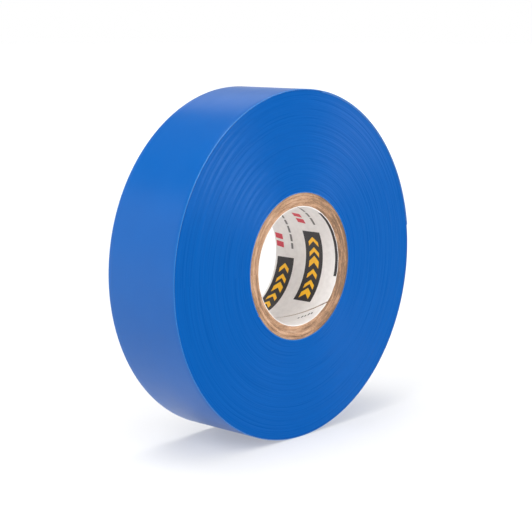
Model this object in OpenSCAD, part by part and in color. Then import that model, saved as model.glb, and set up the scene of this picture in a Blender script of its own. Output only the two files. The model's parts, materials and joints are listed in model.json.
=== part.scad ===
// Roll of vinyl electrical tape on a spiral-wound paperboard core.
// The roll stands on its rim: its axis lies along Y and the origin is the middle of the bore.
// Angles are measured about that axis from +X towards +Z, and the tape is wound on clockwise,
// seen from -Y, so that its free end hangs down the +X side.

/* [Tape] */
// Width of the tape, which is also the width of the roll
tape_w = 19.05; // [12:0.05:50]
// Thickness of the tape, backing film and adhesive together
tape_t = 0.178; // [0.13:0.001:0.3]
// Thickness of the rubber adhesive on the inner side of the backing film
adhesive_t = 0.05; // [0.02:0.005:0.08]
// Outer diameter of the full roll
roll_d = 74.7; // [60:0.1:100]

/* [Core] */
// Diameter of the bore inside the printed liner
bore_d = 25.4; // [20:0.1:38]
// Wall of the core, liner included
core_wall = 3; // [2:0.1:4]
// Number of paperboard plies in the wall
ply_count = 4; // [3:1:6]
// Thickness of the printed paper liner
liner_t = 0.15; // [0.1:0.01:0.2]

/* [Free end] */
// Angle about the axis where the free end leaves the roll
root_a = 80; // [60:1:90]
// Angle that the free end covers when it lies on the roll
tail_a = 72; // [40:1:76]
// Number of hinged links that the free end is divided into
link_count = 8; // [4:1:10]
// Gap between the free end and the turn below it
lift_gap = 0.03; // [0.02:0.01:0.1]

/* [Start of the tape] */
// Angle about the axis where the tape starts on the core
start_a = 215; // [0:1:359]
// Length of the void where the second turn climbs over the start of the first
start_gap = 0.5; // [0.2:0.1:1]

/* [Hidden] */
$fn = 180;

bore_r = bore_d / 2;
core_r = bore_r + core_wall;
ply_t = (core_wall - liner_t) / ply_count;
// The knife that cuts the core to length crushes half of the inner ply's edge into a bevel.
bevel = ply_t / 2;
liner_w = tape_w - 2 * bevel;

// The wound tape is a spiral of half turns: those on the +X side are centred on the axis, and
// those on the -X side are centred half a thickness towards the root angle.
half_rise = tape_t / 2;
pack_r = roll_d / 2 - 3 * half_rise;
half_turn = 180;
tail_r = pack_r + tape_t + lift_gap;
link_a = tail_a / link_count;

tape_blue = [0.06, 0.38, 0.72];
adhesive_black = [0.05, 0.06, 0.08];
kraft = [0.78, 0.64, 0.51];
liner_white = [0.90, 0.88, 0.87];

function numbered(name, count) = [for (i = [1:count]) str(name, "_", i)];

// Turns a shape drawn about Z so that it lies about the roll's axis.
module on_axis() {
    rotate([90, 0, 0])
        children();
}

// Part of a straight tube about the axis, from one angle over a sweep.
module arc_shell(inner_r, thickness, from_a, sweep_a, width) {
    on_axis()
        rotate_extrude(angle = sweep_a, start = from_a)
            translate([inner_r, -width / 2])
                square([thickness, width]);
}

// Moves the half turns on the -X side to their own centre.
module off_centre() {
    translate([half_rise * cos(root_a), 0, half_rise * sin(root_a)])
        children();
}

// One full spiral turn that starts at the root angle with the given inner radius.
module spiral_turn(inner_r, thickness) {
    arc_shell(inner_r, thickness, root_a - half_turn, half_turn, tape_w);
    off_centre()
        arc_shell(inner_r + half_rise, thickness, root_a, half_turn, tape_w);
}

// The first turn on the core, open where the start of the tape is.
module first_turn(inner_r, thickness) {
    gap_a = start_gap / core_r * 180 / PI;
    arc_shell(inner_r, thickness, start_a, 360 - gap_a, tape_w);
}

// One link of the free end. Link 1 is at the root.
module tail_link(i, inner_r, thickness) {
    arc_shell(inner_r, thickness, root_a - i * link_a, link_a, tape_w);
}

// White paper liner, short of both ends of the core where its edge is torn back.
module core_liner() {
    color(liner_white)
        arc_shell(bore_r, liner_t, 0, 360, liner_w);
}

// One paperboard ply. Ply 1 is the innermost, and it alone has bevelled ends.
module core_ply(i) {
    inner_r = bore_r + liner_t + (i - 1) * ply_t;
    outer_r = inner_r + ply_t;
    cut = i == 1 ? bevel : 0;
    color(kraft)
        on_axis()
            difference() {
                cylinder(h = tape_w, r = outer_r, center = true);
                cylinder(h = tape_w + 2, r = inner_r, center = true);
                if (cut > 0)
                    for (side = [-1, 1])
                        scale([1, 1, side])
                            translate([0, 0, tape_w / 2 - cut])
                                cylinder(h = 2 * cut, r1 = inner_r, r2 = inner_r + 2 * cut);
            }
}

module first_turn_adhesive() {
    color(adhesive_black)
        first_turn(core_r, adhesive_t);
}

module first_turn_film() {
    color(tape_blue)
        first_turn(core_r + adhesive_t, tape_t - adhesive_t);
}

// All turns between the first and the outer one, pressed into one solid. Its surface is one
// turn of the spiral, with a step as high as the tape is thick where the outer turn starts.
module wound_tape() {
    color(tape_blue)
        difference() {
            union() {
                arc_shell(0, pack_r, root_a - half_turn, half_turn, tape_w);
                off_centre()
                    arc_shell(0, pack_r + half_rise, root_a, half_turn, tape_w);
            }
            on_axis()
                cylinder(h = tape_w + 2, r = core_r + tape_t, center = true);
        }
}

module outer_turn_adhesive() {
    color(adhesive_black)
        spiral_turn(pack_r, adhesive_t);
}

module outer_turn_film() {
    color(tape_blue)
        spiral_turn(pack_r + adhesive_t, tape_t - adhesive_t);
}

module tail_adhesive(i) {
    color(adhesive_black)
        tail_link(i, tail_r, adhesive_t);
}

module tail_film(i) {
    color(tape_blue)
        tail_link(i, tail_r + adhesive_t, tape_t - adhesive_t);
}

core_liner();
for (i = [1:ply_count])
    core_ply(i);
first_turn_adhesive();
first_turn_film();
wound_tape();
outer_turn_adhesive();
outer_turn_film();
for (i = [1:link_count])
    tail_adhesive(i);
for (i = [1:link_count])
    tail_film(i);
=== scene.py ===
import json
import math

import bpy
import numpy as np
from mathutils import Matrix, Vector

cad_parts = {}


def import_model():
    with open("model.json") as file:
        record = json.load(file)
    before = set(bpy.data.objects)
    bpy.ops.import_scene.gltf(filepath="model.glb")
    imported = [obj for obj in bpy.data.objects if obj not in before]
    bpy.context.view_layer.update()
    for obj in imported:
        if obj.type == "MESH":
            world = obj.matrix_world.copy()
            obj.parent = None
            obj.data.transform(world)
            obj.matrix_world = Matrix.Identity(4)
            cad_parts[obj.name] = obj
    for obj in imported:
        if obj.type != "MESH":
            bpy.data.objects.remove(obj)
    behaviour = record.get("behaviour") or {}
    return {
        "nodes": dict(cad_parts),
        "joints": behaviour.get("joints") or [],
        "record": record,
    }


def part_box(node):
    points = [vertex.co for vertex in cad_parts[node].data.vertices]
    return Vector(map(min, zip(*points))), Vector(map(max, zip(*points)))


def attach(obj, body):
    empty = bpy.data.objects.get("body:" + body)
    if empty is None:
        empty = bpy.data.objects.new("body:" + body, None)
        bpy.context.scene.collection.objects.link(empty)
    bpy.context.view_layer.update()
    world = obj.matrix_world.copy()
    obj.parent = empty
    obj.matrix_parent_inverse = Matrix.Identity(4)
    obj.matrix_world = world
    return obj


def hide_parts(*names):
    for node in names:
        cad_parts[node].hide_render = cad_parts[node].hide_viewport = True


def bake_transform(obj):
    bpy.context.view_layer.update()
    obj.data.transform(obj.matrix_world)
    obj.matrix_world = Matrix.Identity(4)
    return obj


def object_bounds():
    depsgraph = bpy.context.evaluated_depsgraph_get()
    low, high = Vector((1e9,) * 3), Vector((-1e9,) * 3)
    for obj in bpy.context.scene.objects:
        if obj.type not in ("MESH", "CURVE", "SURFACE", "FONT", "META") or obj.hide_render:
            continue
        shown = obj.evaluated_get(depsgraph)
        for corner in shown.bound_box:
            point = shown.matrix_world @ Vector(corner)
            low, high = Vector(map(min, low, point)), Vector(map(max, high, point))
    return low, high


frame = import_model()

# A roll of blue vinyl electrical tape that stands on its rim, in metres and in the CAD frame:
# the roll's axis lies along Y, the photographed face looks along -Y, and +Z is up. Angles are
# measured about the axis from +X towards +Z. An angle called fall is measured the other way
# from the root of the free end, which is the way the tape is wound on.

CAD_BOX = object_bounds()
MM = 0.001

# ---------------------------------------------------------------- sizes, all from the frame


def joint(name):
    return next(j for j in frame["joints"] if j["name"] == name)


def mount(name):
    return next(m for m in frame["record"]["mounts"] if m["name"] == name)


def outer_radius(node):
    """The radius of a node that is round about the roll's axis."""
    low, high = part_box(node)
    return (high[0] - low[0]) / 2


PLIES = sorted(name for name in frame["nodes"] if name.startswith("core_ply"))
HALF_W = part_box("wound_tape")[1][1]
BORE_R = mount("core_bore")["dims"]["r_mm"] * MM
LINER_HALF_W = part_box("core_liner")[1][1]
LINER_OUTER_R = outer_radius("core_liner")
CORE_R = outer_radius(PLIES[-1])
FIRST_TURN_R = outer_radius("first_turn_film")
TAPE_T = FIRST_TURN_R - CORE_R
ADHESIVE_T = outer_radius("first_turn_adhesive") - CORE_R
FILM_T = TAPE_T - ADHESIVE_T
PACK_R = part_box("wound_tape")[1][0]
HALF_RISE = TAPE_T / 2

# The free end: where it leaves the roll, the radius of its outer face, the number of its links,
# the angle that each covers, and the gap between it and the turn below.
PEEL = joint("tail_peel")["pos_m"]
ROOT = math.atan2(PEEL[2], PEEL[0])
TAIL_OUT_R = math.hypot(PEEL[0], PEEL[2])
LINKS = sum(name.startswith("tail_film") for name in frame["nodes"])
FLEX = joint("tail_flex_2")["pos_m"]
LINK_A = ROOT - math.atan2(FLEX[2], FLEX[0])
TAIL_LIFT = TAIL_OUT_R - PACK_R - 2 * TAPE_T

# ---------------------------------------------------------------- smooth noise


class RoundNoise:
    """Smooth noise around the roll: a sum of a few waves that close after one turn."""

    def __init__(self, seed, waves, lowest, highest):
        draw = np.random.default_rng(seed)
        self.count = draw.integers(lowest, highest, waves)
        self.phase = draw.uniform(0, 2 * math.pi, waves)
        self.size = draw.uniform(0.4, 1, waves) / math.sqrt(waves)

    def __call__(self, theta, turn=0.0):
        """About -1 to 1. turn shifts the phases, so that neighbouring rings differ a little."""
        theta = np.asarray(theta, float)
        total = np.zeros(np.broadcast(theta, turn).shape)
        for count, phase, size in zip(self.count, self.phase, self.size):
            total = total + size * np.sin(count * theta + phase + turn * (1 + phase))
        return total


# ---------------------------------------------------------------- meshes


def polar(theta, radius, y):
    """Points of the roll from the angle about its axis, the radius and the place along it."""
    theta, radius, y = np.broadcast_arrays(theta, radius, y)
    return np.stack([radius * np.cos(theta), y, radius * np.sin(theta)], -1)


def finished_mesh(name, points, faces, material, smooth=True):
    mesh = bpy.data.meshes.new(name)
    mesh.from_pydata(points.reshape(-1, 3).tolist(), [], faces)
    mesh.validate()
    mesh.materials.append(material)
    mesh.polygons.foreach_set("use_smooth", [smooth] * len(mesh.polygons))
    piece = bpy.data.objects.new(name, mesh)
    bpy.context.scene.collection.objects.link(piece)
    return piece


def quads(columns, rows, close_columns, close_rows):
    """Faces of a grid of points, column after column."""
    i = np.arange(columns if close_columns else columns - 1)
    j = np.arange(rows if close_rows else rows - 1)
    i, j = (a.ravel() for a in np.meshgrid(i, j, indexing="ij"))
    i2 = (i + 1) % columns
    j2 = (j + 1) % rows
    corners = [i * rows + j, i * rows + j2, i2 * rows + j2, i2 * rows + j]
    return np.stack(corners, -1).tolist()


def ring_piece(name, theta, radius, y, material):
    """A closed ring: each column is a closed outline, and the last joins the first."""
    points = polar(theta, radius, y)
    columns, rows = points.shape[:2]
    return finished_mesh(name, points, quads(columns, rows, True, True), material)


def strip_piece(name, theta, radius, y, material, smooth=True):
    """A closed bar along the columns' outlines, with a flat cap at each end."""
    points = polar(theta, radius, y)
    columns, rows = points.shape[:2]
    faces = quads(columns, rows, False, True)
    faces.append(list(range(rows - 1, -1, -1)))
    faces.append([(columns - 1) * rows + j for j in range(rows)])
    piece = finished_mesh(name, points, faces, material, smooth)
    for cap in (-2, -1):
        piece.data.polygons[cap].use_smooth = False
    return piece


def tape_outline(thickness, across):
    """Outline of the tape's cross-section with small rounded corners: for each point, the place
    along the roll's axis and the height over the inner face. Each flat side gets as many points
    as across says."""
    corner = 0.3 * thickness
    quarter = np.linspace(0, math.pi / 2, 4)
    flat = np.linspace(HALF_W, -HALF_W, across + 2)[1:-1]
    y, height = [], []
    for side_y, side_h, turn in ((1, 0, -1), (1, 1, 0), (-1, 1, 1), (-1, 0, 2)):
        angle = quarter + turn * math.pi / 2
        centre_h = side_h * thickness + (corner if side_h == 0 else -corner)
        y.extend(side_y * (HALF_W - corner) + corner * np.cos(angle))
        height.extend(centre_h + corner * np.sin(angle))
        if turn == 0:
            y.extend(flat)
            height.extend([thickness] * across)
        if turn == 2:
            y.extend(-flat)
            height.extend([0] * across)
    return np.array(y), np.array(height)


def spiral_r(start_r, fall):
    """Radius of a spiral of two half turns, at a fall from 0 to a full turn. The first half is
    centred on the axis, and the second is centred half a thickness towards the root."""
    second = HALF_RISE * np.cos(fall) + np.sqrt(
        (start_r + HALF_RISE) ** 2 - (HALF_RISE * np.sin(fall)) ** 2
    )
    return np.where(fall <= math.pi, start_r, second)


# ---------------------------------------------------------------- materials


def fill_ramp(ramp, stops):
    """Give a colour ramp its stops, each a position and a colour."""
    elements = ramp.color_ramp.elements
    while len(elements) < len(stops):
        elements.new(0.5)
    for element, (position, colour) in zip(elements, stops):
        element.position = position
        element.color = (*colour, 1)


class Shader:
    """A Principled material with helpers for its node tree."""

    def __init__(self, name, colour, roughness, **sockets):
        self.material = bpy.data.materials.new(name)
        self.material.use_nodes = True
        self.tree = self.material.node_tree
        self.bsdf = self.tree.nodes["Principled BSDF"]
        self.bsdf.inputs["Base Color"].default_value = (*colour, 1)
        self.bsdf.inputs["Roughness"].default_value = roughness
        for socket, value in sockets.items():
            self.bsdf.inputs[socket.replace("_", " ")].default_value = value
        self.material.diffuse_color = (*colour, 1)

    def node(self, kind, **settings):
        node = self.tree.nodes.new(kind)
        for key, value in settings.items():
            setattr(node, key, value)
        return node

    def link(self, source, target):
        self.tree.links.new(source, target)

    def place(self):
        """Object coordinates: metres in the roll's own frame."""
        return self.node("ShaderNodeTexCoord").outputs["Object"]

    def math(self, operation, first, second=None, third=None):
        node = self.node("ShaderNodeMath", operation=operation)
        for slot, value in enumerate((first, second, third)):
            if value is None:
                continue
            if isinstance(value, (int, float)):
                node.inputs[slot].default_value = value
            else:
                self.link(value, node.inputs[slot])
        return node.outputs[0]

    def map_range(self, value, from_ends, to_ends, **settings):
        node = self.node("ShaderNodeMapRange", **settings)
        self.link(value, node.inputs["Value"])
        node.inputs["From Min"].default_value = from_ends[0]
        node.inputs["From Max"].default_value = from_ends[1]
        node.inputs["To Min"].default_value = to_ends[0]
        node.inputs["To Max"].default_value = to_ends[1]
        return node.outputs[0]

    def split(self, vector):
        node = self.node("ShaderNodeSeparateXYZ")
        self.link(vector, node.inputs[0])
        return node.outputs

    def radius(self):
        """Distance from the roll's axis, in metres."""
        x, _, z = self.split(self.place())
        squares = self.math("ADD", self.math("MULTIPLY", x, x), self.math("MULTIPLY", z, z))
        return self.math("SQRT", squares)

    def unrolled(self, around, along, out):
        """Coordinates that follow the roll: angle, place along the axis and radius, scaled."""
        x, y, z = self.split(self.place())
        angle = self.math("ARCTAN2", z, x)
        node = self.node("ShaderNodeCombineXYZ")
        self.link(self.math("MULTIPLY", angle, around), node.inputs[0])
        self.link(self.math("MULTIPLY", y, along), node.inputs[1])
        self.link(self.math("MULTIPLY", self.radius(), out), node.inputs[2])
        return node.outputs[0]

    def noise(self, scale, detail=3.0, roughness=0.55, vector=None):
        """Noise from 0 to 1. Without a vector, scale counts its cells in a metre."""
        node = self.node("ShaderNodeTexNoise")
        node.inputs["Scale"].default_value = scale
        node.inputs["Detail"].default_value = detail
        node.inputs["Roughness"].default_value = roughness
        self.link(vector or self.place(), node.inputs["Vector"])
        return node.outputs["Fac"]

    def ramp(self, factor, stops):
        node = self.node("ShaderNodeValToRGB")
        fill_ramp(node, stops)
        self.link(factor, node.inputs[0])
        return node.outputs["Color"]

    def colour(self, output):
        self.link(output, self.bsdf.inputs["Base Color"])

    def roughness(self, factor, low, high):
        output = self.map_range(factor, (0, 1), (low, high))
        self.link(output, self.bsdf.inputs["Roughness"])

    def bump(self, height, distance, strength=1.0):
        node = self.node("ShaderNodeBump")
        node.inputs["Strength"].default_value = strength
        node.inputs["Distance"].default_value = distance
        self.link(height, node.inputs["Height"])
        self.link(node.outputs[0], self.bsdf.inputs["Normal"])


def film_material():
    """Outer face of the vinyl film, smooth and semi-gloss, with a painted highlight at both slit
    edges.
    """
    shader = Shader("vinyl_film", (0.001, 0.112, 0.435), 0.3, IOR=1.46, Specular_IOR_Level=0.35)
    cloud = shader.noise(60, 4)
    body = shader.ramp(cloud, [(0.3, (0.0006, 0.092, 0.365)), (0.7, (0.0006, 0.100, 0.39))])
    _, y, _ = shader.split(shader.place())
    from_edge = shader.math("SUBTRACT", HALF_W, shader.math("ABSOLUTE", y))
    # Painted highlight: the film's colour turns paler within about 0.2 mm of each slit edge.
    mix = shader.node("ShaderNodeMix", data_type="RGBA")
    edge_highlight = shader.map_range(from_edge, (0.06 * MM, 0.22 * MM), (1, 0))
    shader.link(edge_highlight, mix.inputs["Factor"])
    shader.link(body, mix.inputs["A"])
    mix.inputs["B"].default_value = (0.002, 0.15, 0.47, 1)
    shader.colour(mix.outputs["Result"])
    shader.roughness(shader.noise(220, 3), 0.27, 0.36)
    shader.bump(shader.noise(2500, 2), 0.004 * MM, 0.5)
    return shader.material


def wound_material():
    """Slit edges of the wound turns: fine rings, glossy across them and dull along them."""
    shader = Shader(
        "wound_edges",
        (0.0, 0.069, 0.29),
        0.28,
        IOR=1.45,
        Anisotropic=0.85,
        Anisotropic_Rotation=0.25,
        Specular_IOR_Level=0.055,
        Specular_Tint=(0.3, 0.6, 1.0, 1.0),
    )
    ring_width = 0.35 * MM
    fine_width = 0.09 * MM
    rings = shader.noise(1, 2, vector=shader.unrolled(1.2, 0, 1 / ring_width))
    dark = (0.0, 0.063, 0.266)
    middle = (0.0, 0.069, 0.29)
    pale = (0.0, 0.076, 0.314)
    shader.colour(shader.ramp(rings, [(0.25, dark), (0.5, middle), (0.8, pale)]))
    shader.roughness(rings, 0.25, 0.31)
    tangent = shader.node("ShaderNodeTangent", direction_type="RADIAL", axis="Y")
    shader.link(tangent.outputs[0], shader.bsdf.inputs["Tangent"])
    fine = shader.noise(1, 1, vector=shader.unrolled(2.0, 0, 1 / fine_width))
    shader.bump(fine, 0.01 * MM, 0.6)
    return shader.material


def adhesive_material():
    """Rubber adhesive: dark, tacky, with a faint orange-peel surface."""
    shader = Shader("rubber_adhesive", (0.004, 0.05, 0.17), 0.35, IOR=1.5)
    patch = shader.noise(300, 3)
    shader.colour(shader.ramp(patch, [(0.3, (0.003, 0.042, 0.15)), (0.7, (0.006, 0.062, 0.20))]))
    shader.roughness(shader.noise(500, 2), 0.3, 0.5)
    shader.bump(shader.noise(1500, 3), 0.01 * MM, 0.6)
    return shader.material


def kraft_material(name, tint):
    """Cut kraft board: fibres that run round the tube, grey-brown specks, soft fuzz. Painted
    shade makes the board darker and browner on its +X side."""
    shader = Shader(name, (0.40, 0.235, 0.14), 0.9, IOR=1.3)
    fibres = shader.noise(1, 5, 0.7, shader.unrolled(26, 2.5 / MM, 7 / MM))
    patches = shader.noise(1, 3, 0.6, shader.unrolled(4, 0.5 / MM, 1.9 / MM))
    tone = shader.math("MULTIPLY_ADD", patches, 0.7, shader.math("MULTIPLY", fibres, 0.5))
    x, _, _ = shader.split(shader.place())
    # Painted shade: the board's tone is pushed darker towards its +X side.
    painted_shade_side = shader.math("MAXIMUM", shader.math("DIVIDE", x, shader.radius()), 0.0)
    tone = shader.math("MULTIPLY_ADD", painted_shade_side, -0.13, tone)
    deep = tuple(tint * c for c in (0.20, 0.120, 0.075))
    middle = tuple(tint * c for c in (0.42, 0.245, 0.145))
    pale = tuple(tint * c for c in (0.58, 0.385, 0.265))
    shader.colour(shader.ramp(tone, [(0.44, deep), (0.60, middle), (0.78, pale)]))
    shader.roughness(fibres, 0.85, 1.0)
    fuzz = shader.noise(1, 5, 0.7, shader.unrolled(60, 5 / MM, 12 / MM))
    shader.bump(fuzz, 0.12 * MM, 0.9)
    return shader.material


def liner_material():
    """White coated paper with a faint warm mottle."""
    shader = Shader("liner_paper", (0.80, 0.77, 0.75), 0.5, IOR=1.45)
    mottle = shader.noise(900, 4)
    shader.colour(shader.ramp(mottle, [(0.3, (0.76, 0.73, 0.71)), (0.7, (0.84, 0.81, 0.79))]))
    shader.roughness(mottle, 0.42, 0.58)
    shader.bump(shader.noise(3000, 3), 0.01 * MM, 0.5)
    return shader.material


def ink_material(name, colour, spread=0.25):
    """Printed ink, slightly uneven over the paper's grain. spread is how much paler it is where
    it is thin."""
    shader = Shader(name, colour, 0.45, IOR=1.5)
    patch = shader.noise(2200, 3)
    thin = tuple(min(1, c * (1 + spread) + 0.02 * spread) for c in colour)
    shader.colour(shader.ramp(patch, [(0.35, colour), (0.75, thin)]))
    shader.roughness(patch, 0.38, 0.55)
    return shader.material


FILM = film_material()
WOUND = wound_material()
ADHESIVE = adhesive_material()
LINER = liner_material()
BLACK_INK = ink_material("black_ink", (0.022, 0.018, 0.02))
AMBER_INK = ink_material("amber_ink", (0.95, 0.50, 0.012), 0.1)
RED_INK = ink_material("red_ink", (0.55, 0.035, 0.06))
GREY_INK = ink_material("grey_ink", (0.15, 0.14, 0.135))

# ---------------------------------------------------------------- wound turns

# How far the edges of the turns lie behind the roll's flat sides: a mean depth, a random part
# for each turn, a groove between turns, and a slow wave.
EDGE_DEPTH = 0.05 * MM
TURN_SCATTER = 0.018 * MM
GROOVE_DEPTH = 0.016 * MM
SLOW_WAVE = 0.01 * MM

# The rings in the sides are this far apart and this high. They are highest where the tape is
# wound loosely, which is on one side of the roll.
RING_PITCH = 1.62 * MM
RING_HEIGHT = 0.010 * MM
LOOSE_RING_HEIGHT = 0.032 * MM
LOOSE_AT = math.radians(137)


def wound_turns():
    """All turns under the outer one. Two rows of points for each turn give every turn its own
    rounded edge, and slow waves over many turns give the faces their rings."""
    turns = round((PACK_R - FIRST_TURN_R) / TAPE_T)
    columns = 200
    fall = np.linspace(0, 2 * math.pi, columns, endpoint=False)[:, None]
    theta = ROOT - fall
    outer = spiral_r(PACK_R, fall)
    row = np.arange(2 * turns + 1)[None, :]
    share = row / row.max()
    radius = FIRST_TURN_R + share * (outer - FIRST_TURN_R)
    ring_phase = radius / RING_PITCH * 2 * math.pi
    from_loose = theta - LOOSE_AT
    both_sides = np.exp(1.6 * (np.cos(2 * from_loose) - 1))
    strong = both_sides * np.exp(np.cos(from_loose) - 1)
    slant = 2.6 * np.sin(2 * from_loose)

    draw = np.random.default_rng(11)

    def side_depth(wave_seed):
        """How far each point of a side lies behind the roll's flat side."""
        each_turn = np.repeat(draw.uniform(0, TURN_SCATTER, turns + 1), 2)[: 2 * turns + 1]
        groove = np.where(row % 2 == 0, GROOVE_DEPTH, 0.0)
        wander = RoundNoise(wave_seed, 5, 1, 4)
        fade = RoundNoise(wave_seed + 10, 6, 2, 9)
        strength = 0.55 + 0.45 * fade(theta, ring_phase / 6)
        height = (RING_HEIGHT + LOOSE_RING_HEIGHT * strong) * strength
        rings = np.sin(ring_phase + slant + 1.2 * wander(theta)) * height
        slow = np.sin(ring_phase * 0.29 + 2.1 * wander(theta + 1.0)) * SLOW_WAVE
        return EDGE_DEPTH + each_turn + groove + rings + slow

    front = -HALF_W + side_depth(3)
    back = HALF_W - side_depth(4)
    all_radius = np.concatenate([radius, radius[:, ::-1]], 1)
    all_y = np.concatenate([front, back[:, ::-1]], 1)
    piece = ring_piece("wound_turns", theta, all_radius, all_y, WOUND)
    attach(piece, "roll")
    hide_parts("wound_tape")


# ---------------------------------------------------------------- lengths of tape

# The narrow step at each end of a length of tape, as an angle.
END_BAND = 0.006 * MM / PACK_R

# Where the tape starts on the core, and the void where the second turn climbs over its start.
START_AT = math.radians(215)
START_VOID = 0.5 * MM / CORE_R


def cut_length(first, last, count):
    """Angles along a length of tape. A very narrow step at each end keeps the rounding of the
    shading at the cut too small to see."""
    fall = np.linspace(first, last, count)
    band = math.copysign(END_BAND, last - first)
    return np.concatenate([fall[:1], fall[:1] + band, fall[1:-1], fall[-1:] - band, fall[-1:]])


def tape_strip(name, fall, start_r, thickness, material, wave=None, across=6):
    """A length of film or of adhesive, wound clockwise from the root over the angles fall. wave
    says how far its outer face lies below the full thickness at each angle."""
    y, height = tape_outline(thickness, across)
    radius = start_r[:, None] + height[None, :]
    if wave is not None:
        radius = radius - wave(fall)[:, None] * (height > 0.5 * thickness)[None, :]
    return strip_piece(name, (ROOT - fall)[:, None], radius, y[None, :], material)


def outer_turn():
    """The last full turn: film outside, adhesive inside, from the root once round."""
    fall = cut_length(0, 2 * math.pi, 721)
    start_r = spiral_r(PACK_R, fall)
    ripple = RoundNoise(21, 8, 2, 14)

    def wave(fall):
        """A slight unevenness that dies out towards both ends of the turn."""
        from_end = np.minimum(fall, 2 * math.pi - fall)
        return (0.006 + 0.006 * ripple(ROOT - fall)) * MM * np.clip(from_end / 0.4, 0, 1) ** 2

    adhesive = tape_strip("outer_adhesive", fall, start_r, ADHESIVE_T, ADHESIVE)
    film = tape_strip("outer_film", fall, start_r + ADHESIVE_T, FILM_T, FILM, wave, 14)
    for piece, node, slot in (
        (adhesive, "outer_turn_adhesive", "rubber_adhesive"),
        (film, "outer_turn_film", "tape_film"),
    ):
        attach(piece, "roll")
        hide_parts(node)


def first_turn():
    """The first turn on the core, which stops short of its own start by the void."""
    start = ROOT - START_AT
    fall = cut_length(start, start - 2 * math.pi + START_VOID, 241)
    level = np.ones_like(fall)
    adhesive = tape_strip("first_adhesive", fall, level * CORE_R, ADHESIVE_T, ADHESIVE)
    film = tape_strip("first_film", fall, level * (CORE_R + ADHESIVE_T), FILM_T, FILM)
    for piece, node, slot in (
        (adhesive, "first_turn_adhesive", "rubber_adhesive"),
        (film, "first_turn_film", "tape_film"),
    ):
        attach(piece, "roll")
        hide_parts(node)


def tail():
    """The free end: one strip of film on one of adhesive, cut at the middle of each link. Only
    the last length is attached, to the last link."""
    cuts = [0.0] + [(k - 0.5) * LINK_A for k in range(1, LINKS + 1)] + [LINKS * LINK_A]
    layers = (
        ("film", ADHESIVE_T, FILM_T, FILM, "tape_film"),
        ("adhesive", 0.0, ADHESIVE_T, ADHESIVE, "rubber_adhesive"),
    )
    for layer, base, thickness, material, slot in layers:
        for k in range(1, LINKS + 2):
            fall = cut_length(cuts[k - 1], cuts[k], 25)
            settle = np.clip(fall / (0.5 * LINK_A), 0, 1)
            lift = TAIL_LIFT * settle * settle * (3 - 2 * settle)
            start_r = PACK_R + TAPE_T + lift + base
            piece = tape_strip(f"tail_{layer}_length_{k}", fall, start_r, thickness, material)
            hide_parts(f"tail_{layer}_{min(k, LINKS)}")
            if k > LINKS:
                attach(piece, f"tail_{LINKS}")
                continue
            ends = [polar(ROOT - a, TAIL_OUT_R, 0.0) for a in (cuts[k - 1], cuts[k])]
            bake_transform(piece)


# ---------------------------------------------------------------- core

# How pale each ply's board is, from the inner ply out.
PLY_TINTS = (1.02, 0.86, 0.97, 0.8)

# The slit between a ply and its neighbours, on each side of it.
PLY_SLIT = 0.004 * MM

# How far a ply's cut end lies behind the roll's flat side: a mean depth with waves round the
# tube, single fibres, and more at the ply's two edges.
CUT_DEPTH = 0.03 * MM
CUT_WAVE = 0.02 * MM
FIBRE_DEPTH = 0.035 * MM
EDGE_ROUNDING = 0.05 * MM


def core_plies():
    """Each paperboard ply as its own tube, with fuzzy cut ends. The knife crushes ply 1."""
    columns = 540
    end_rows = 9
    theta = np.linspace(0, 2 * math.pi, columns, endpoint=False)[:, None]
    out = np.linspace(0, 1, end_rows)[None, :]
    bevel = HALF_W - LINER_HALF_W
    radii = [LINER_OUTER_R] + [outer_radius(name) for name in PLIES]
    draw = np.random.default_rng(5)
    for k, name in enumerate(PLIES):
        low = radii[k] + PLY_SLIT
        high = radii[k + 1] - PLY_SLIT
        sides = []
        for side in (-1, 1):
            fuzz = RoundNoise(40 + 2 * k + side, 14, 5, 160)
            fibres = draw.uniform(0, FIBRE_DEPTH, (columns, end_rows))
            rounding = EDGE_ROUNDING * (np.abs(2 * out - 1) ** 6)
            depth = CUT_DEPTH + CUT_WAVE * fuzz(theta, 3 * out) + fibres + rounding
            if k == 0:
                torn = 0.25 + 0.2 * RoundNoise(60 + side, 10, 2, 40)(theta)
                depth = depth + bevel * np.clip(1 - out * (1 + torn), 0, 1)
            sides.append(side * (HALF_W - np.clip(depth, 0, None)))
        across = low + out * (high - low)
        radius = np.repeat(np.concatenate([across, across[:, ::-1]], 1), columns, 0)
        y = np.concatenate([sides[0], sides[1][:, ::-1]], 1)
        board = kraft_material(f"kraft_{k + 1}", PLY_TINTS[k % len(PLY_TINTS)])
        piece = ring_piece(f"board_ply_{k + 1}", theta, radius, y, board)
        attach(piece, "roll")
        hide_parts(name)


# ---------------------------------------------------------------- printed liner

# The seam crosses the middle of the bore at this angle. It slants by this angle for each metre
# along the axis, and it is open by this angle.
SEAM_AT = math.radians(-85)
SEAM_SLOPE = math.radians(-4.4) / MM
SEAM_GAP = 0.5 * MM / BORE_R

# The liner's inner face, which leaves room for the ink inside the bore, and the ink.
LINER_R = BORE_R + 0.02 * MM
LINER_T = LINER_OUTER_R - LINER_R - 0.01 * MM
INK_T = 0.012 * MM

# How far the liner's torn edges lie inside the CAD's: a mean depth, and waves round the bore.
TEAR_DEPTH = 0.04 * MM
TEAR_WAVE = 0.035 * MM
EDGE_TEAR = {side: RoundNoise(80 + side, 9, 2, 30) for side in (-1, 1)}


def liner_end(theta, side):
    """Place along the axis where the torn edge of the liner is."""
    return side * (LINER_HALF_W - TEAR_DEPTH - TEAR_WAVE * EDGE_TEAR[side](theta))


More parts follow.
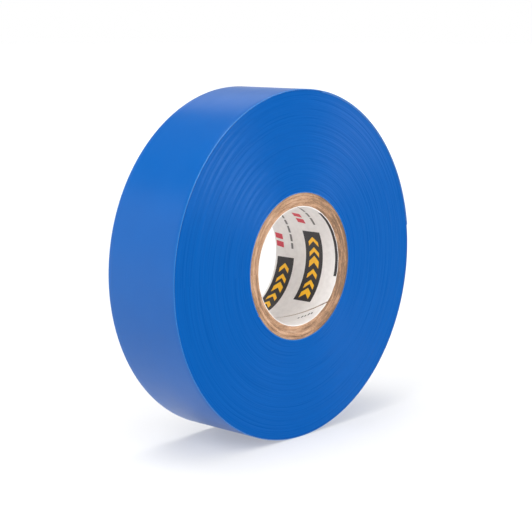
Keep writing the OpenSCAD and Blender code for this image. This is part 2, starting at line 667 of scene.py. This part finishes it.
def liner():
    """One turn of the printed strip, which runs round the bore as a helix from seam to seam."""
    columns = 300
    rows = 64
    flat_theta = SEAM_AT + np.linspace(SEAM_GAP / 2, 2 * math.pi - SEAM_GAP / 2, columns)[:, None]
    along = np.linspace(-1, 1, rows)[None, :]
    y = along * LINER_HALF_W
    # The angle depends on the place along the axis, and the torn edge on the angle. Four rounds
    # settle both.
    for _ in range(4):
        theta = flat_theta + SEAM_SLOPE * y
        low = liner_end(theta, -1)
        high = liner_end(theta, 1)
        y = (low + high) / 2 + along * (high - low) / 2
    theta = flat_theta + SEAM_SLOPE * y
    theta = np.concatenate([theta, theta[:, ::-1]], 1)
    y = np.concatenate([y, y[:, ::-1]], 1)
    outside = np.concatenate([np.zeros(rows), np.ones(rows)])[None, :]
    radius = LINER_R + LINER_T * outside
    piece = strip_piece("liner_strip", theta, radius, y, LINER, False)
    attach(piece, "roll")
    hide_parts("core_liner")


class Print:
    """Flat ink shapes on the liner, collected by colour into thin closed plates."""

    def __init__(self):
        self.points = {}
        self.faces = {}

    def plate(self, ink, shape, columns, rows, layer=0):
        """shape maps two shares from 0 to 1 to an angle and a place along the axis."""
        u, v = np.meshgrid(np.linspace(0, 1, columns), np.linspace(0, 1, rows), indexing="ij")
        theta, y = shape(u, v)
        y = np.clip(y, liner_end(theta, -1), liner_end(theta, 1))
        top = LINER_R - (layer + 1) * INK_T
        under = polar(theta, top + INK_T, y)
        over = polar(theta, top, y)
        n = columns * rows
        sheet = quads(columns, rows, False, False)
        border = [i * rows for i in range(columns)]
        border += [(columns - 1) * rows + j for j in range(1, rows)]
        border += [i * rows + rows - 1 for i in range(columns - 2, -1, -1)]
        border += [j for j in range(rows - 2, 0, -1)]
        walls = [[a, b, b + n, a + n] for a, b in zip(border, border[1:] + border[:1])]
        faces = [f[::-1] for f in sheet] + [[p + n for p in f] for f in sheet] + walls
        start = sum(len(p) for p in self.points.get(ink, []))
        self.points.setdefault(ink, []).extend([under.reshape(-1, 3), over.reshape(-1, 3)])
        self.faces.setdefault(ink, []).extend([[p + start for p in f] for f in faces])

    def bar(self, ink, at, length, low, high, lean=0.0):
        """A rectangle from an angle over a length round the bore. lean shifts its high side."""

        def shape(u, v):
            return at + (u * length + lean * v) / BORE_R, low + v * (high - low)

        self.plate(ink, shape, max(2, int(length / (0.5 * MM)) + 2), 2)

    def chevron(self, ink, at, stroke, reach, low, high):
        """A chevron on top of a panel, which points along the print."""

        def shape(u, v):
            point = reach * (1 - np.abs(2 * v - 1))
            return at + (u * stroke + point) / BORE_R, low + v * (high - low)

        self.plate(ink, shape, 3, 7, 1)

    def make(self):
        for ink in self.points:
            points = np.concatenate(self.points[ink])
            piece = finished_mesh(f"print_{ink.name}", points, self.faces[ink], ink, False)
            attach(piece, "roll")


# Three rows of print run round the bore, each with two panels. low is a row's -Y side.
PANEL_LENGTH = 16.5 * MM
PANEL_WIDTH = 4.9 * MM
PANEL_AT = math.radians(-48.4)
PANEL_LOW = -4.78 * MM
ROW_PITCH = 8.45 * MM
ROW_SHIFT = math.radians(-31.3)

CHEVRONS = 6
CHEVRON_PITCH = PANEL_LENGTH / 6.75
CHEVRON_MARGIN = 0.22 * PANEL_WIDTH

# What follows each panel: two red tabs and, nearer the row's low side, a dashed grey line.
PANEL_TO_TABS = 2.1 * MM
TAB_LENGTH = 1.3 * MM
TAB_PITCH = 1.9 * MM
TAB_LOW = 3.0 * MM
TAB_HIGH = 5.1 * MM
TAB_LEAN = 0.3 * MM
DASHED_LENGTH = 8.6 * MM
DASH_SHORTEST = 1.3 * MM
DASH_LONGEST = 2.3 * MM
DASH_GAP = 0.4 * MM
DASH_LOW = 0.15 * MM
DASH_HIGH = 0.75 * MM

# Small bars beside the seam, from the -Y side on. They step round the bore as they go.
SEAM_MARKS = 5
SEAM_MARK_LOW = -7.6 * MM
SEAM_MARK_AT = math.radians(-63.5)
SEAM_MARK_PITCH = 0.44 * MM
SEAM_MARK_WIDTH = 0.27 * MM
SEAM_MARK_LENGTHS = (0.6 * MM, 0.8 * MM)
SEAM_MARK_SLOPE = 1.45 * SEAM_SLOPE


def print_panel(sheet, at, low):
    """A dark panel, with amber chevrons unless the liner's edge cuts them off."""
    sheet.bar(BLACK_INK, at, PANEL_LENGTH, low, low + PANEL_WIDTH)
    inner_low = low + CHEVRON_MARGIN
    inner_high = low + PANEL_WIDTH - CHEVRON_MARGIN
    if inner_low <= -LINER_HALF_W:
        return
    for k in range(CHEVRONS):
        place = at + (0.28 + k) * CHEVRON_PITCH / BORE_R
        stroke = (0.62 if k % 3 == 0 else 0.42) * CHEVRON_PITCH
        sheet.chevron(AMBER_INK, place, stroke, 0.5 * CHEVRON_PITCH, inner_low, inner_high)


def print_tabs(sheet, at, low):
    """Two slanted red tabs side by side."""
    for k in (0, 1):
        place = at + TAB_PITCH * k / BORE_R
        sheet.bar(RED_INK, place, TAB_LENGTH, low + TAB_LOW, low + TAB_HIGH, TAB_LEAN)


def print_dashes(sheet, at, low, draw):
    """A line of plain grey dashes of uneven length."""
    step = 0.0
    while step < DASHED_LENGTH:
        stroke = draw.uniform(DASH_SHORTEST, DASH_LONGEST)
        sheet.bar(GREY_INK, at + step / BORE_R, stroke, low + DASH_LOW, low + DASH_HIGH)
        step += stroke + DASH_GAP


def print_seam_marks(sheet):
    """Small bars in a row beside the seam."""
    for k in range(SEAM_MARKS):
        along = SEAM_MARK_PITCH * k
        low = SEAM_MARK_LOW + along
        at = SEAM_MARK_AT + SEAM_MARK_SLOPE * along
        sheet.bar(BLACK_INK, at, SEAM_MARK_LENGTHS[k % 2], low, low + SEAM_MARK_WIDTH)


def liner_print():
    """Plain generic shapes in the places of the real print."""
    sheet = Print()
    draw = np.random.default_rng(9)
    for row in (-1, 0, 1):
        low = PANEL_LOW + row * ROW_PITCH
        for repeat in (0, 1):
            at = PANEL_AT + row * ROW_SHIFT + repeat * math.pi
            print_panel(sheet, at, low)
            if low < -LINER_HALF_W:
                continue
            after = at + (PANEL_LENGTH + PANEL_TO_TABS) / BORE_R
            print_tabs(sheet, after, low)
            print_dashes(sheet, after, low, draw)
    print_seam_marks(sheet)
    sheet.make()


# ---------------------------------------------------------------- stage

FLOOR_R = 6.0


def stage():
    """A round pale floor that glows a little more with the distance from the roll."""
    mesh = bpy.data.meshes.new("floor")
    ring = np.linspace(0, 2 * math.pi, 97)[:-1]
    points = [(FLOOR_R * math.cos(a), FLOOR_R * math.sin(a), CAD_BOX[0].z) for a in ring]
    mesh.from_pydata(points, [], [list(range(len(points)))])
    floor = bpy.data.objects.new("floor", mesh)
    bpy.context.scene.collection.objects.link(floor)
    shader = Shader("floor_paper", (0.5, 0.5, 0.5), 0.8)
    shader.bsdf.inputs["Emission Color"].default_value = (1, 1, 1, 1)
    away = shader.node("ShaderNodeVectorMath", operation="LENGTH")
    shader.link(shader.place(), away.inputs[0])
    glow = shader.map_range(
        away.outputs["Value"], (0.12, 0.9), (0.36, 0.68), interpolation_type="SMOOTHSTEP"
    )
    shader.link(glow, shader.bsdf.inputs["Emission Strength"])
    grain = shader.noise(40, 2)
    shader.colour(shader.ramp(grain, [(0.3, (0.49, 0.49, 0.49)), (0.7, (0.51, 0.51, 0.51))]))
    mesh.materials.append(shader.material)


LIGHT_DISTANCE = 0.9

# Each light's name, direction from the roll, width and height in metres, and watts.
LIGHTS = (
    ("key", (-0.45, -0.35, 0.82), 0.6, 0.6, 2.4),
    ("top", (-0.1, 0.1, 1.0), 0.5, 0.5, 2.9),
    ("left", (-0.8, -0.1, 0.65), 0.4, 0.4, 2.5),
    ("front", (0.50, -0.85, 0.08), 0.22, 0.16, 5.3),
    ("right", (0.88, -0.46, 0.14), 0.2, 0.2, 1.5),
    ("back_top", (0.50, 0.67, 0.56), 0.3, 0.25, 0.19),
    ("back_left", (-0.62, 0.67, 0.38), 0.3, 0.3, 0.2),
    ("back", (0.05, 0.97, 0.25), 0.4, 0.3, 1.2),
)


def soft_light(name, direction, width, height, watts):
    """A soft box that faces the roll from a direction."""
    data = bpy.data.lights.new(name, "AREA")
    data.shape = "RECTANGLE"
    data.size = width
    data.size_y = height
    data.energy = watts
    light = bpy.data.objects.new(name, data)
    bpy.context.scene.collection.objects.link(light)
    where = Vector(direction).normalized() * LIGHT_DISTANCE
    light.location = where
    light.rotation_euler = (-where).to_track_quat("-Z", "Y").to_euler()
    light.visible_camera = False


# The sky's brightness against the height of the direction, from 0 at the horizon to 1 overhead,
# in front of the roll (-Y) and behind it. SKY_LEVEL is above the brightest stop.
SKY_LEVEL = 2.5
FRONT_SKY = ((0.16, 1.0), (0.24, 0.1), (0.4, 0.05), (0.55, 1.3), (0.68, 1.3), (0.8, 0.35))
BACK_SKY = (
    (0.16, 1.0), (0.24, 0.4), (0.3, 0.4), (0.4, 0.4), (0.55, 0.1), (0.8, 0.1), (0.93, 2.4)
)


def world():
    """A studio with a white horizon, dark bands above it, and one bright band in front and one
    overhead at the back."""
    made = bpy.data.worlds.new("studio")
    made.use_nodes = True
    tree = made.node_tree
    coordinates = tree.nodes.new("ShaderNodeTexCoord")
    split = tree.nodes.new("ShaderNodeSeparateXYZ")
    tree.links.new(coordinates.outputs["Generated"], split.inputs[0])

    def sky(stops):
        ramp = tree.nodes.new("ShaderNodeValToRGB")
        fill_ramp(ramp, [(height, [level / SKY_LEVEL] * 3) for height, level in stops])
        tree.links.new(split.outputs[2], ramp.inputs[0])
        return ramp.outputs[0]

    # The two skies blend over a narrow band at the roll's left and right.
    side = tree.nodes.new("ShaderNodeMapRange")
    tree.links.new(split.outputs[1], side.inputs["Value"])
    side.inputs["From Min"].default_value = -0.1
    side.inputs["From Max"].default_value = 0.1
    mix = tree.nodes.new("ShaderNodeMix")
    mix.data_type = "RGBA"
    tree.links.new(side.outputs[0], mix.inputs["Factor"])
    tree.links.new(sky(FRONT_SKY), mix.inputs["A"])
    tree.links.new(sky(BACK_SKY), mix.inputs["B"])
    background = tree.nodes["Background"]
    tree.links.new(mix.outputs["Result"], background.inputs["Color"])
    background.inputs["Strength"].default_value = SKY_LEVEL
    bpy.context.scene.world = made


CAMERA_AZIMUTH = math.radians(-47.54)
CAMERA_ELEVATION = math.radians(9.35)
CAMERA_DISTANCE = 0.3134


def camera():
    """The photo's camera, which looks at the middle of the roll with a small lens shift."""
    data = bpy.data.cameras.new("camera")
    data.lens = 98.0
    data.sensor_width = 36.0
    data.shift_x = -0.00357
    data.shift_y = -0.00827
    data.clip_start = 0.01
    data.clip_end = 50
    made = bpy.data.objects.new("camera", data)
    bpy.context.scene.collection.objects.link(made)
    level = CAMERA_DISTANCE * math.cos(CAMERA_ELEVATION)
    made.location = (
        level * math.sin(CAMERA_AZIMUTH),
        -level * math.cos(CAMERA_AZIMUTH),
        CAMERA_DISTANCE * math.sin(CAMERA_ELEVATION),
    )
    made.rotation_euler = (math.pi / 2 - CAMERA_ELEVATION, 0, CAMERA_AZIMUTH)
    bpy.context.scene.camera = made


camera()
world()
stage()
for settings in LIGHTS:
    soft_light(*settings)
bpy.context.scene.view_settings.view_transform = "Standard"

wound_turns()
outer_turn()
first_turn()
tail()
core_plies()
liner()
liner_print()
